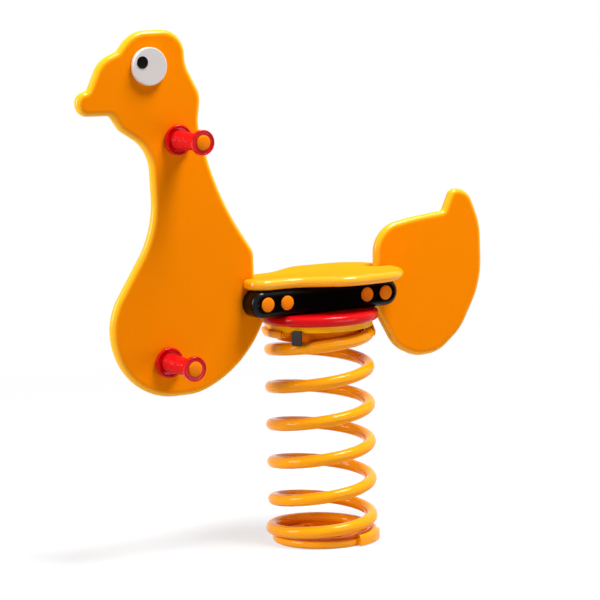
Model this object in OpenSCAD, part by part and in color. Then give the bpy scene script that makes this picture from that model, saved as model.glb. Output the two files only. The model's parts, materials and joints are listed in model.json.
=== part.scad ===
// Playground spring rider: a bird cut from flat panels, on one coil spring.
// The origin is the middle of the base plate's underside, on the spring's axis.
// The head points to -X and the tail to +X, +Z is up, and the rider's left hand is at -Y.

/* [Spring] */
// Outside diameter of the coil
coil_d = 200; // [190:1:210]
// Diameter of the spring wire
wire_d = 22; // [18:0.5:23]
// Height of the spring between its two plates
spring_h = 380; // [340:1:420]
// Rise of one working turn
coil_pitch = 69; // [60:1:80]
// Turns that lie closed on the base plate
foot_closed_turns = 0.66; // [0.5:0.02:0.72]
// Turns that lie closed under the top plate
head_closed_turns = 0.48; // [0.4:0.02:0.7]
// Turns over which a closed end opens to the working pitch
opening_turns = 0.66; // [0.5:0.02:0.8]
// Direction, seen from above, in which the closed coil leaves the base plate
coil_lift_angle = 159; // [0:1:359]

/* [Spring plates] */
// How far the rim of the base plate lies inside the outside of the coil
base_plate_set_in = 7; // [3:0.5:10]
// Thickness of the base plate
base_plate_t = 14; // [10:1:18]
// Diameter of the circle of ground bolts
ground_bolt_pcd = 110; // [90:1:120]
// Number of ground bolts
ground_bolt_count = 4; // [3:1:6]
// Diameter of the holes for the ground bolts
ground_hole_d = 13; // [9:0.5:15]
// How far the rim of the top plate lies inside the outside of the coil
top_plate_set_in = 2; // [1:0.5:7]
// Thickness of the top plate
top_plate_t = 11; // [8:1:16]
// Angle that the strap at the tip of the wire spans
tip_strap_angle = 45; // [30:1:60]
// Angle that the strap on the far side of the coil spans
far_strap_angle = 26; // [15:1:40]
// Thickness of a coil strap
strap_t = 3.5; // [2.5:0.5:6]
// Height of the guide ring inside the head of the coil
guide_h = 17; // [8:1:20]
// Wall of the guide ring
guide_t = 5; // [3:0.5:6]
// How far the rim of the spacer disc lies outside the coil
disc_overhang = 7; // [2:0.5:15]
// Thickness of the spacer disc
disc_t = 19; // [12:1:24]
// Radius on the rim of the spacer disc
disc_edge_r = 8; // [2:0.5:9]

/* [Beams] */
// Length of a beam, with its round ends
beam_l = 308; // [296:1:325]
// Height of a beam
beam_h = 50; // [44:1:60]
// Thickness of a beam
beam_t = 40; // [34:1:50]
// Radius on the outer edges of a beam
beam_edge_r = 13; // [4:0.5:15]
// Middle of the beams, from the spring's axis
beam_x = -10; // [-25:1:15]
// Distance from the end of a beam to its outer bolt
beam_bolt_inset = 30; // [27:1:34]
// Distance between the two bolts at one end of a beam
beam_bolt_gap = 40; // [34:1:50]
// Diameter of a bolt cap
cap_d = 26; // [24:0.5:30]
// Height of a bolt cap's dome
cap_dome_h = 3.5; // [2:0.5:6]

/* [Panels] */
// Thickness of the front and tail panels
panel_t = 20; // [16:1:24]
// Radius on the edges of the panels
panel_edge_r = 9; // [3:0.5:9.5]
// Rear edge of the front panel above the seat
front_panel_back_x = -134.5; // [-140:0.5:-128]
// Front edge of the tail panel above the seat
tail_panel_front_x = 121; // [114:0.5:126]

/* [Seat] */
// Thickness of the seat
seat_t = 18.5; // [16:0.5:26]
// Radius on the edges of the seat
seat_edge_r = 9; // [3:0.5:9.5]
// Front end of the seat
seat_front_x = -161; // [-175:1:-155]
// Rear end of the seat
seat_rear_x = 155; // [146:1:165]
// Width of the narrow front part of the seat
seat_front_w = 105; // [90:1:120]
// Width of the broad rear part of the seat
seat_rear_w = 212; // [190:1:230]

/* [Pegs] */
// How far a handle or a footrest stands out from the panel
peg_l = 98; // [85:1:115]
// Diameter of the flange against the panel
peg_flange_d = 54; // [48:1:60]
// Thickness of the flange against the panel
peg_flange_t = 9; // [6:0.5:12]
// Diameter of the grip at the panel
grip_root_d = 34; // [30:0.5:38]
// Diameter of the grip at its outer end
grip_tip_d = 27; // [25:0.5:34]
// Number of ribs around the grip
grip_ribs = 12; // [6:1:14]
// Diameter of the ring at the outer end
peg_ring_d = 44; // [40:1:50]
// Thickness of the ring at the outer end
peg_ring_t = 11; // [8:0.5:14]
// Diameter of the rod through the panel
peg_rod_d = 12; // [10:0.5:14]
// Handle, from the spring's axis
handle_x = -288; // [-300:1:-280]
// Handle, above the middle of the beams
handle_z = 299; // [285:1:315]
// Footrest, from the spring's axis
footrest_x = -316; // [-330:1:-300]
// Footrest, below the middle of the beams
footrest_drop = 89; // [80:1:100]

/* [Eyes] */
// Diameter of an eye
eye_d = 66; // [56:1:72]
// Thickness of an eye
eye_t = 6.5; // [4:0.5:9]
// Diameter of a pupil
pupil_d = 21.5; // [16:0.5:24]

/* [Fasteners] */
// Diameter of the beam bolts and plate bolts
bolt_d = 10; // [8:0.5:11]
// Diameter of the seat screws
screw_d = 8; // [6:0.5:8.5]

/* [Hidden] */
$fn = 48;

// Clearances, all on one side
hole_gap = 0.5;
fit_gap = 0.2;
coil_gap = 0.4;
guide_gap = 1;
seat_slot_gap = 1;
plate_bolt_room = 8;
insert_room = 2;

// Levels of the stack
spring_foot_z = base_plate_t;
spring_head_z = spring_foot_z + spring_h;
disc_z = spring_head_z + top_plate_t;
beam_bottom_z = disc_z + disc_t;
beam_z = beam_bottom_z + beam_h / 2;
seat_z = beam_bottom_z + beam_h;

// Winding of the spring, in turns counted from the point where it leaves the base plate
coil_r = (coil_d - wire_d) / 2;
closed_pitch = wire_d + 2 * coil_gap;
coil_rise = spring_h - wire_d;
opening_rise = (closed_pitch + coil_pitch) / 2 * opening_turns;
lift_turns = (coil_rise - 2 * opening_rise) / coil_pitch + 2 * opening_turns;
foot_tip_angle = coil_lift_angle - 360 * foot_closed_turns;
head_tip_angle = coil_lift_angle + 360 * (lift_turns + head_closed_turns);
wire_sides = 10;
rings_per_turn = 24;

// Plates on the ends of the spring
base_plate_d = coil_d - 2 * base_plate_set_in;
top_plate_d = coil_d - 2 * top_plate_set_in;
disc_d = coil_d + 2 * disc_overhang;
guide_d = coil_d - 2 * wire_d - 2 * guide_gap;

// Angles along the wire from its tip to the middles of the straps
foot_tip_strap_angle = 20;
foot_far_strap_angle = 218;
head_tip_strap_angle = 24;
head_far_strap_angle = 212;
// How far a strap laps the rim of its plate
foot_strap_lap = base_plate_t - 2;
head_strap_lap = 3;
// Angle from the wire's tip to the rubber stop, and the angle that the stop spans
rubber_stop_start_angle = 13;
rubber_stop_angle = 10;
rubber_stop_t = 8;
rubber_stop_lap = 4;
rubber_stop_drop = 22;
plate_edge_chamfer = 1;

// Bolts through the beams, along Y
beam_y = panel_t / 2;
beam_outer_y = beam_y + beam_t;
beam_bolt_reach = beam_l / 2 - beam_bolt_inset;
beam_bolt_xs = [
    beam_x - beam_bolt_reach,
    beam_x - beam_bolt_reach + beam_bolt_gap,
    beam_x + beam_bolt_reach - beam_bolt_gap,
    beam_x + beam_bolt_reach
];
bolt_hole_d = bolt_d + 2 * hole_gap;
bolt_head_d = 1.9 * bolt_d;
bolt_head_h = 0.64 * bolt_d;
nut_h = 0.8 * bolt_d;
washer_d = 2 * bolt_d;
washer_t = 2;
bolt_sink_d = washer_d + 4 * hole_gap;
cap_plug_h = 4;
bolt_sink_h = washer_t + nut_h + cap_plug_h + 2;

// Bolts up through the top plate and the spacer disc into the beams
plate_bolt_y = beam_y + beam_t / 2;
plate_bolt_circle_r = guide_d / 2 - guide_t - plate_bolt_room - washer_d / 2;
insert_d = 1.6 * bolt_d;
plate_bolt_x = min(
    sqrt(pow(plate_bolt_circle_r, 2) - pow(plate_bolt_y, 2)),
    min(-beam_bolt_xs[1], beam_bolt_xs[2]) - washer_d / 2 - insert_room - insert_d / 2
);
insert_h = 25;
plate_bolt_l = top_plate_t + disc_t + insert_h;

// Screws up through the beams into the seat
seat_screw_xs = [beam_bolt_xs[0] + beam_bolt_gap / 2, beam_bolt_xs[3] - beam_bolt_gap / 2];
screw_hole_d = screw_d + 2 * hole_gap;
screw_head_d = 1.6 * screw_d;
screw_head_h = screw_d;
screw_sink_d = screw_head_d + 2 * hole_gap;
screw_sink_h = screw_head_h + 4;
screw_bite = 0.65 * seat_t;

// Tongues of the panels between the beams
tongue_margin = 24;
tongue_h = beam_h / 2 - 2;
tongue_end_r = 12;
tongue_root_r = 8;
tongue_top_r = 0.75 * (beam_h / 2 - tongue_h);
// How far the lower root of a tongue lies from the panel's edge above the seat
front_root_step = 23;
tail_root_step = 9.5;

// Handles and footrests
peg_rod_hole_d = peg_rod_d + 2 * fit_gap;
peg_nut_d = 1.82 * peg_rod_d;
peg_nut_h = 0.8 * peg_rod_d;
peg_sink_d = peg_nut_d + 4 * hole_gap;
peg_sink_h = peg_nut_h + cap_plug_h + 2;
rib_r = 2.2;
rib_proud = 0.9;
peg_edge_r = 3.5;

// Eyes, seen from the side, from the spring's axis and the middle of the beams
eye_x = -337;
eye_z = 429.5;
eye_edge_r = 1.5;
pupil_offset = [-16, 7.5];
pupil_sunk = 2;
pupil_proud = 1;
eye_plug_d = 16;
eye_plug_h = 0.4 * panel_t;

// Outline of the front panel: x, height above the middle of the beams, corner radius
front_outline = [
    [front_panel_back_x, 92, 30],
    [-206, 197, 510],
    [-240, 325.5, 60],
    [-233, 375, 44],
    [-262.5, 430, 66],
    [-263, 493.5, 47],
    [-364.5, 493.5, 60],
    [-394, 457, 7],
    [-428.5, 443.5, 50],
    [-453, 392.5, 13],
    [-475.5, 388, 19],
    [-476, 350, 22],
    [-412, 348.5, 8],
    [-394, 321, 28],
    [-337.5, 285, 71],
    [-332, 144.5, 179],
    [-424, 3.5, 108],
    [-420.5, -152, 124],
    [-249, -152, 121],
    [-153, -106.5, 207],
    [front_panel_back_x + front_root_step, -tongue_h, tongue_root_r],
    [beam_bolt_xs[1] + tongue_margin, -tongue_h, tongue_end_r],
    [beam_bolt_xs[1] + tongue_margin, tongue_h, tongue_end_r],
    [front_panel_back_x, tongue_h, tongue_top_r]
];

// Outline of the tail panel, in the same way
tail_outline = [
    [beam_bolt_xs[2] - tongue_margin, -tongue_h, tongue_end_r],
    [tail_panel_front_x - tail_root_step, -tongue_h, tongue_root_r],
    [161, -110, 67],
    [206.5, -132.5, 71],
    [258, -129, 70],
    [308, -90.5, 105],
    [357.5, -3.5, 167],
    [356, 105.5, 134],
    [328, 173, 38],
    [291, 173, 16],
    [273, 134, 8],
    [201, 127.5, 630],
    [tail_panel_front_x, 112, 57],
    [tail_panel_front_x, tongue_h, tongue_top_r],
    [beam_bolt_xs[2] - tongue_margin, tongue_h, tongue_end_r]
];

// Outline of one side of the seat: x, distance from the middle, corner radius
seat_side = [
    [seat_front_x, seat_front_w / 2, 36],
    [-74, seat_front_w / 2, 70],
    [4, seat_rear_w / 2, 62],
    [seat_rear_x, seat_rear_w / 2 - 7, 78]
];

panel_colour = "#F58400";
paint_colour = "#FFAA00";
red_colour = "#E8141C";
black_colour = "#1C1C1E";
steel_colour = "#B4B8BC";

// Rounded outlines

function unit(v) = v / norm(v);
function flat(p) = [p.x, p.y];

// Points round corner b of an outline that runs anticlockwise, each as x, y, outward normal x and y
function corner_points(a, b, c) =
    let (
        u = unit(flat(b) - flat(a)),
        v = unit(flat(c) - flat(b)),
        turn = atan2(u.x * v.y - u.y * v.x, u.x * v.x + u.y * v.y),
        side = sign(turn),
        start = flat(b) - u * b.z * tan(abs(turn) / 2),
        centre = start - side * b.z * [u.y, -u.x],
        steps = max(2, ceil(abs(turn) / 12))
    )
    [
        for (k = [0:steps])
            let (
                heading = atan2(u.y, u.x) + turn * k / steps,
                n = [sin(heading), -cos(heading)],
                p = centre + side * b.z * n
            )
            [p.x, p.y, n.x, n.y]
    ];

function outline_points(corners) =
    let (n = len(corners))
    [
        for (i = [0:n - 1])
            each corner_points(corners[(i + n - 1) % n], corners[i], corners[(i + 1) % n])
    ];

function cross_of(a, b, c) = (b.x - a.x) * (c.y - a.y) - (b.y - a.y) * (c.x - a.x);
function in_triangle(p, a, b, c) =
    cross_of(a, b, p) >= 0 && cross_of(b, c, p) >= 0 && cross_of(c, a, p) >= 0;

function is_ear(points, left, i) =
    let (
        n = len(left),
        a = left[(i + n - 1) % n],
        b = left[i],
        c = left[(i + 1) % n]
    )
    cross_of(points[a], points[b], points[c]) > 0
    && len([
        for (j = left)
            if (j != a && j != b && j != c && in_triangle(points[j], points[a], points[b], points[c])) j
    ]) == 0;

function first_ear(points, left, i = 0) = is_ear(points, left, i) ? i : first_ear(points, left, i + 1);

// Triangles that fill an anticlockwise outline, cut off one ear at a time
function triangles(points, left, done = []) =
    len(left) == 3
    ? concat(done, [left])
    : let (
        n = len(left),
        e = first_ear(points, left)
    )
    triangles(
        points,
        [for (j = [0:n - 1]) if (j != e) left[j]],
        concat(done, [[left[(e + n - 1) % n], left[e], left[(e + 1) % n]]])
    );

// A plate with this outline, lying flat and centred on its thickness, with quarter-round edges
module rounded_plate(corners, t, edge_r) {
    r = min(edge_r, t / 2 - 0.5);
    edge_steps = 3;
    quarter = [for (k = [0:edge_steps]) 90 * k / edge_steps];
    lower = [for (q = quarter) [r * (1 - sin(q)), r * (1 - cos(q)) - t / 2]];
    profile = concat(lower, [for (k = [edge_steps:-1:0]) [lower[k].x, -lower[k].y]]);
    outline = outline_points(corners);
    n = len(outline);
    rings = len(profile);
    points = [
        for (p = profile)
            for (o = outline)
                [o.x - p.x * o[2], o.y - p.x * o[3], p.y]
    ];
    cap = triangles([for (i = [0:n - 1]) flat(points[i])], [for (i = [0:n - 1]) i]);
    last = (rings - 1) * n;
    faces = concat(
        cap,
        [for (f = cap) [last + f[2], last + f[1], last + f[0]]],
        [
            for (j = [0:rings - 2])
                for (i = [0:n - 1])
                    let (a = j * n + i, b = j * n + (i + 1) % n)
                    each [[a, a + n, b + n], [a, b + n, b]]
        ]
    );
    polyhedron(points, faces);
}

// A disc on Z with both rims rounded, standing on z = 0
module rounded_disc(d, t, edge_r) {
    r = d / 2;
    e = min(edge_r, t / 2 - 0.5);
    rotate_extrude() {
        square([r - e, t]);
        translate([0, e]) square([r, t - 2 * e]);
        for (z = [e, t - e])
            translate([r - e, z]) circle(e);
    }
}

// A disc on Z with both rims chamfered, standing on z = 0
module chamfered_disc(d, t, c) {
    rotate_extrude()
        polygon([[0, 0], [d / 2 - c, 0], [d / 2, c], [d / 2, t - c], [d / 2 - c, t], [0, t]]);
}

// Places that repeat

module on_ground_circle() {
    for (k = [0:ground_bolt_count - 1])
        rotate(90 + 360 * k / ground_bolt_count)
            translate([ground_bolt_pcd / 2, 0, 0]) children();
}

module at_plate_bolts() {
    for (x = [-1, 1], y = [-1, 1])
        translate([x * plate_bolt_x, y * plate_bolt_y, spring_head_z]) children();
}

// Children lie along +Y from the middle plane
module at_beam_bolts() {
    for (x = beam_bolt_xs)
        translate([x, 0, beam_z]) rotate([-90, 0, 0]) children();
}

module at_seat_screws() {
    for (x = seat_screw_xs, y = [-1, 1])
        translate([x, y * plate_bolt_y, beam_bottom_z]) children();
}

// Children stand on z = 0 and point away from the middle plane: side 1 is +Y, side -1 is -Y
module on_side(side, x, z, y) {
    translate([x, side * y, beam_z + z]) rotate([-90 * side, 0, 0]) children();
}

module panel_place() {
    translate([0, 0, beam_z]) rotate([90, 0, 0]) children();
}

// Spring and its plates

// Height of the wire's middle above its start, t turns after the wire leaves a closed end
function closed_end_height(t) =
    t <= 0 ? closed_pitch * t
    : t < opening_turns ? closed_pitch * t + (coil_pitch - closed_pitch) * t * t / (2 * opening_turns)
    : opening_rise + coil_pitch * (t - opening_turns);

function wire_height(t) =
    t < lift_turns / 2
    ? closed_end_height(t)
    : coil_rise - closed_end_height(lift_turns - t);

function wire_middle(t) =
    let (a = coil_lift_angle + 360 * t)
    [coil_r * cos(a), coil_r * sin(a), spring_foot_z + wire_d / 2 + wire_height(t)];

function wire_ring(t) =
    let (
        a = coil_lift_angle + 360 * t,
        slope = atan2(wire_height(t + 0.005) - wire_height(t - 0.005), 0.02 * PI * coil_r),
        out = [cos(a), sin(a), 0],
        up = [sin(slope) * sin(a), -sin(slope) * cos(a), cos(slope)]
    )
    [
        for (k = [0:wire_sides - 1])
            let (s = 360 * k / wire_sides)
            wire_middle(t) + wire_d / 2 * (cos(s) * out + sin(s) * up)
    ];

// Least gap between two turns, measured between the middles of rings at least half a turn apart
function least_turn_gap(turns) =
    let (
        middles = [for (t = turns) wire_middle(t)],
        last = len(middles) - 1,
        half = floor(rings_per_turn / 2)
    )
    min([
        for (i = [0:last - half])
            for (j = [i + half:last])
                norm(middles[i] - middles[j])
    ]) - wire_d;

module spring() {
    total_turns = foot_closed_turns + lift_turns + head_closed_turns;
    steps = ceil(total_turns * rings_per_turn);
    turns = [for (k = [0:steps]) total_turns * k / steps - foot_closed_turns];
    points = [for (t = turns) each wire_ring(t)];
    last = steps * wire_sides;
    faces = concat(
        [for (k = [1:wire_sides - 2]) [0, k, k + 1]],
        [for (k = [1:wire_sides - 2]) [last, last + k + 1, last + k]],
        [
            for (j = [0:steps - 1])
                for (k = [0:wire_sides - 1])
                    let (a = j * wire_sides + k, b = j * wire_sides + (k + 1) % wire_sides)
                    each [[a, a + wire_sides, b + wire_sides], [a, b + wire_sides, b]]
        ]
    );
    echo(str("Least gap between two turns: ", least_turn_gap(turns), " mm"));
    color(paint_colour)
        difference() {
            polyhedron(points, faces);
            translate([-coil_d, -coil_d, spring_foot_z + fit_gap - coil_d])
                cube([2 * coil_d, 2 * coil_d, coil_d]);
            translate([-coil_d, -coil_d, spring_head_z - fit_gap])
                cube([2 * coil_d, 2 * coil_d, coil_d]);
        }
}

module base_plate() {
    color(paint_colour)
        difference() {
            chamfered_disc(base_plate_d, base_plate_t, plate_edge_chamfer);
            on_ground_circle()
                translate([0, 0, -1]) cylinder(d = ground_hole_d, h = base_plate_t + 2);
        }
}

// Section of the room that the wire takes under a strap, r away from the wire's middle
module wire_room(r, low, high) {
    for (z = [low, high])
        translate([coil_r, z]) circle(r);
    translate([coil_r - r, low]) square([2 * r, high - low]);
}

// A strap from the rim of a plate up the outside of the wire
// The plate's face is at z = 0 with the wire above it, and the strap's middle is on the +X axis
module coil_strap(angle, span, closed_turns, plate_d, lap) {
    low = wire_d / 2 + closed_end_height((angle - span / 2) / 360 - closed_turns);
    high = wire_d / 2 + closed_end_height((angle + span / 2) / 360 - closed_turns);
    inner = wire_d / 2 + coil_gap;
    outer = inner + strap_t;
    rim = plate_d / 2;
    shelf = max(low, 0);
    skirt = low > 0 ? low : -lap;
    rotate(-span / 2)
        rotate_extrude(angle = span)
            difference() {
                union() {
                    intersection() {
                        wire_room(outer, low, high);
                        translate([coil_r + inner, low]) square(coil_r);
                    }
                    polygon([[rim, -lap], [coil_r + outer, skirt], [coil_r + outer, shelf], [rim, shelf]]);
                }
                intersection() {
                    wire_room(inner, low, high);
                    square(2 * coil_r);
                }
                translate([0, -coil_r]) square([rim, coil_r]);
            }
}

module lower_coil_straps() {
    color(paint_colour)
        translate([0, 0, spring_foot_z])
            for (strap = [[foot_tip_strap_angle, tip_strap_angle], [foot_far_strap_angle, far_strap_angle]])
                rotate(foot_tip_angle + strap[0])
                    coil_strap(strap[0], strap[1], foot_closed_turns, base_plate_d, foot_strap_lap);
}

module upper_coil_straps() {
    color(paint_colour)
        translate([0, 0, spring_head_z])
            for (strap = [[head_tip_strap_angle, tip_strap_angle], [head_far_strap_angle, far_strap_angle]])
                rotate(head_tip_angle - strap[0])
                    mirror([0, 0, 1])
                        coil_strap(strap[0], strap[1], head_closed_turns, top_plate_d, head_strap_lap);
}

module spring_guide() {
    color(paint_colour)
        translate([0, 0, spring_head_z - guide_h])
            ring(guide_d, guide_d - 2 * guide_t, guide_h);
}

module top_plate() {
    color(paint_colour)
        difference() {
            translate([0, 0, spring_head_z])
                chamfered_disc(top_plate_d, top_plate_t, plate_edge_chamfer);
            at_plate_bolts()
                translate([0, 0, -1]) cylinder(d = bolt_hole_d, h = top_plate_t + 2);
        }
}

module rubber_stop() {
    inner = coil_d / 2 + coil_gap;
    color(black_colour)
        translate([0, 0, spring_head_z])
            rotate(head_tip_angle + rubber_stop_start_angle)
                rotate_extrude(angle = rubber_stop_angle) {
                    translate([inner, -rubber_stop_drop])
                        square([rubber_stop_t, rubber_stop_drop + rubber_stop_lap]);
                    translate([top_plate_d / 2, plate_edge_chamfer])
                        square([inner + 1 - top_plate_d / 2, rubber_stop_lap - plate_edge_chamfer]);
                }
}

module spacer_disc() {
    color(red_colour)
        difference() {
            translate([0, 0, disc_z]) rounded_disc(disc_d, disc_t, disc_edge_r);
            at_plate_bolts()
                cylinder(d = bolt_hole_d, h = top_plate_t + disc_t + 1);
        }
}

// Fasteners

// A hexagon bolt whose head lies under z = 0 and whose shank points up
module hex_bolt(d, l) {
    translate([0, 0, -bolt_head_h]) cylinder(d = bolt_head_d, h = bolt_head_h, $fn = 6);
    cylinder(d = d, h = l);
}

module ring(outer_d, inner_d, h) {
    difference() {
        cylinder(d = outer_d, h = h);
        translate([0, 0, -1]) cylinder(d = inner_d, h = h + 2);
    }
}

module hex_nut(outer_d, inner_d, h) {
    difference() {
        cylinder(d = outer_d, h = h, $fn = 6);
        translate([0, 0, -1]) cylinder(d = inner_d, h = h + 2);
    }
}

module plate_bolts() {
    color(steel_colour)
        at_plate_bolts()
            translate([0, 0, -washer_t]) hex_bolt(bolt_d, plate_bolt_l + washer_t);
}

module plate_washers() {
    color(steel_colour)
        at_plate_bolts()
            translate([0, 0, -washer_t]) ring(washer_d, bolt_d + fit_gap, washer_t);
}

module plate_inserts() {
    color("#C8A550")
        at_plate_bolts()
            translate([0, 0, top_plate_t + disc_t]) ring(insert_d, bolt_d + fit_gap, insert_h);
}

module beam_bolts() {
    seat_y = beam_outer_y - bolt_sink_h + washer_t;
    color(steel_colour)
        at_beam_bolts()
            translate([0, 0, -seat_y]) hex_bolt(bolt_d, 2 * seat_y + nut_h + 1);
}

module beam_washers() {
    color(steel_colour)
        at_beam_bolts()
            for (side = [0, 1])
                mirror([0, 0, side])
                    translate([0, 0, beam_outer_y - bolt_sink_h])
                        ring(washer_d, bolt_d + fit_gap, washer_t);
}

module beam_nuts() {
    color(steel_colour)
        at_beam_bolts()
            translate([0, 0, beam_outer_y - bolt_sink_h + washer_t])
                hex_nut(bolt_head_d, bolt_d + fit_gap, nut_h);
}

module seat_screws() {
    color(steel_colour)
        at_seat_screws()
            translate([0, 0, screw_sink_h - screw_head_h]) {
                cylinder(d = screw_head_d, h = screw_head_h);
                cylinder(d = screw_d, h = beam_h - screw_sink_h + screw_head_h + screw_bite);
            }
}

// A domed cap with a plug that fills the mouth of a sink hole
module plug_cap(sink_d) {
    dome_r = (pow(cap_d / 2, 2) + pow(cap_dome_h, 2)) / (2 * cap_dome_h);
    intersection() {
        translate([0, 0, cap_dome_h - dome_r]) sphere(dome_r);
        cylinder(d = cap_d, h = cap_dome_h + 1);
    }
    translate([0, 0, -cap_plug_h]) cylinder(d = sink_d - 2 * fit_gap, h = cap_plug_h + 0.5);
}

// Beams, panels and seat

// Half of a beam's section: x is the distance from its middle line, y the distance from the panel
module beam_half_section() {
    r = beam_h / 2;
    square([r - beam_edge_r, beam_t]);
    square([r, beam_t - beam_edge_r]);
    translate([r - beam_edge_r, beam_t - beam_edge_r])
        intersection() {
            circle(beam_edge_r);
            square(beam_edge_r);
        }
}

// side -1 is the left beam, at -Y
module beam(side) {
    straight = beam_l - beam_h;
    color(black_colour)
        difference() {
            on_side(side, beam_x, 0, beam_y) {
                for (end = [-0.5, 0.5])
                    translate([end * straight, 0, 0]) rotate_extrude() beam_half_section();
                rotate([90, 0, 90])
                    linear_extrude(straight, center = true)
                        for (half = [0, 1])
                            mirror([half, 0]) beam_half_section();
            }
            at_beam_bolts() {
                cylinder(d = bolt_hole_d, h = 4 * beam_outer_y, center = true);
                translate([0, 0, side > 0 ? beam_outer_y - bolt_sink_h : -beam_outer_y - 1])
                    cylinder(d = bolt_sink_d, h = bolt_sink_h + 1);
            }
            at_plate_bolts()
                cylinder(d = insert_d, h = plate_bolt_l + 1);
            at_seat_screws() {
                translate([0, 0, -1]) cylinder(d = screw_sink_d, h = screw_sink_h + 1);
                cylinder(d = screw_hole_d, h = beam_h + 1);
            }
        }
}

module left_beam() {
    beam(-1);
}

module right_beam() {
    beam(1);
}

module beam_caps(side) {
    color(panel_colour)
        for (x = beam_bolt_xs)
            on_side(side, x, 0, beam_outer_y) plug_cap(bolt_sink_d);
}

module left_beam_caps() {
    beam_caps(-1);
}

module right_beam_caps() {
    beam_caps(1);
}

module panel_drill(x, z, d) {
    translate([x, z, 0]) cylinder(d = d, h = 2 * panel_t, center = true);
}

module front_panel() {
    color(panel_colour)
        panel_place()
            difference() {
                rounded_plate(front_outline, panel_t, panel_edge_r);
                for (x = [beam_bolt_xs[0], beam_bolt_xs[1]])
                    panel_drill(x, 0, bolt_hole_d);
                panel_drill(handle_x, handle_z, peg_rod_hole_d);
                panel_drill(footrest_x, -footrest_drop, peg_rod_hole_d);
                panel_drill(eye_x, eye_z, eye_plug_d + 2 * fit_gap);
            }
}

module tail_panel() {
    color(panel_colour)
        panel_place()
            difference() {
                rounded_plate(tail_outline, panel_t, panel_edge_r);
                for (x = [beam_bolt_xs[2], beam_bolt_xs[3]])
                    panel_drill(x, 0, bolt_hole_d);
            }
}

// A slot open towards -X, with its round end at x
module seat_slot(x) {
    w = panel_t + 2 * seat_slot_gap;
    translate([x, 0, -seat_t])
        linear_extrude(2 * seat_t) {
            translate([-w / 2, 0]) circle(d = w);
            translate([-seat_rear_x, -w / 2]) square([seat_rear_x - w / 2, w]);
        }
}

module seat() {
    last = len(seat_side) - 1;
    outline = concat(
        [for (p = seat_side) [p.x, -p.y, p.z]],
        [for (k = [last:-1:0]) seat_side[k]]
    );
    color(paint_colour)
        difference() {
            translate([0, 0, seat_z + seat_t / 2]) {
                difference() {
                    rounded_plate(outline, seat_t, seat_edge_r);
                    seat_slot(front_panel_back_x + seat_slot_gap);
                    mirror([1, 0, 0]) seat_slot(seat_slot_gap - tail_panel_front_x);
                }
            }
            at_seat_screws()
                cylinder(d = screw_d + 2 * fit_gap, h = beam_h + screw_bite + fit_gap);
        }
}

// Handles and footrests

// A grip that stands on the panel at z = 0, with a ring at its outer end
module peg_grip() {
    grip_l = peg_l - peg_flange_t - peg_ring_t;
    rib_step = grip_l / grip_ribs;
    color(red_colour)
        difference() {
            union() {
                rounded_disc(peg_flange_d, peg_flange_t, peg_edge_r);
                translate([0, 0, peg_flange_t - 0.5])
                    cylinder(d1 = grip_root_d, d2 = grip_tip_d, h = grip_l + 1);
                for (k = [0:grip_ribs - 1])
                    translate([0, 0, peg_flange_t + (k + 0.5) * rib_step])
                        rotate_extrude()
                            translate([rib_radius(k) - rib_r, 0]) circle(rib_r);
                translate([0, 0, peg_l - peg_ring_t])
                    rounded_disc(peg_ring_d, peg_ring_t, peg_edge_r);
            }
            translate([0, 0, -1]) cylinder(d = peg_rod_hole_d, h = peg_l + 2);
            translate([0, 0, peg_l - peg_sink_h]) cylinder(d = peg_sink_d, h = peg_sink_h + 1);
        }
}

// Outer radius of rib k on the tapered grip
function rib_radius(k) =
    rib_proud + (grip_root_d + (grip_tip_d - grip_root_d) * (k + 0.5) / grip_ribs) / 2;

module peg_rod(x, z) {
    reach = panel_t / 2 + peg_l - peg_sink_h + peg_nut_h + 1;
    color(steel_colour)
        translate([x, 0, beam_z + z])
            rotate([90, 0, 0]) cylinder(d = peg_rod_d, h = 2 * reach, center = true);
}

module peg_nuts(x, z) {
    color(steel_colour)
        for (side = [-1, 1])
            on_side(side, x, z, panel_t / 2 + peg_l - peg_sink_h)
                hex_nut(peg_nut_d, peg_rod_d + fit_gap, peg_nut_h);
}

module peg_cap(side, x, z) {
    color(panel_colour)
        on_side(side, x, z, panel_t / 2 + peg_l) plug_cap(peg_sink_d);
}

module handle_rod() {
    peg_rod(handle_x, handle_z);
}

module left_handle_grip() {
    on_side(-1, handle_x, handle_z, panel_t / 2) peg_grip();
}

module right_handle_grip() {
    on_side(1, handle_x, handle_z, panel_t / 2) peg_grip();
}

module handle_nuts() {
    peg_nuts(handle_x, handle_z);
}

module left_handle_cap() {
    peg_cap(-1, handle_x, handle_z);
}

module right_handle_cap() {
    peg_cap(1, handle_x, handle_z);
}

module footrest_rod() {
    peg_rod(footrest_x, -footrest_drop);
}

module left_footrest_grip() {
    on_side(-1, footrest_x, -footrest_drop, panel_t / 2) peg_grip();
}

module right_footrest_grip() {
    on_side(1, footrest_x, -footrest_drop, panel_t / 2) peg_grip();
}

module footrest_nuts() {
    peg_nuts(footrest_x, -footrest_drop);
}

module left_footrest_cap() {
    peg_cap(-1, footrest_x, -footrest_drop);
}

module right_footrest_cap() {
    peg_cap(1, footrest_x, -footrest_drop);
}

// Eyes

module eye(side) {
    color("#EDEAE6")
        difference() {
            on_side(side, eye_x, eye_z, panel_t / 2) {
                rounded_disc(eye_d, eye_t, eye_edge_r);
                translate([0, 0, -eye_plug_h]) cylinder(d = eye_plug_d, h = eye_plug_h + 1);
            }
            on_side(side, eye_x + pupil_offset.x, eye_z + pupil_offset.y, panel_t / 2)
                translate([0, 0, eye_t - pupil_sunk])
                    cylinder(d = pupil_d + 2 * fit_gap, h = pupil_sunk + 1);
        }
}

module pupil(side) {
    color(black_colour)
        on_side(side, eye_x + pupil_offset.x, eye_z + pupil_offset.y, panel_t / 2)
            translate([0, 0, eye_t - pupil_sunk])
                cylinder(d = pupil_d, h = pupil_sunk + pupil_proud);
}

module left_eye() {
    eye(-1);
}

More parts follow.
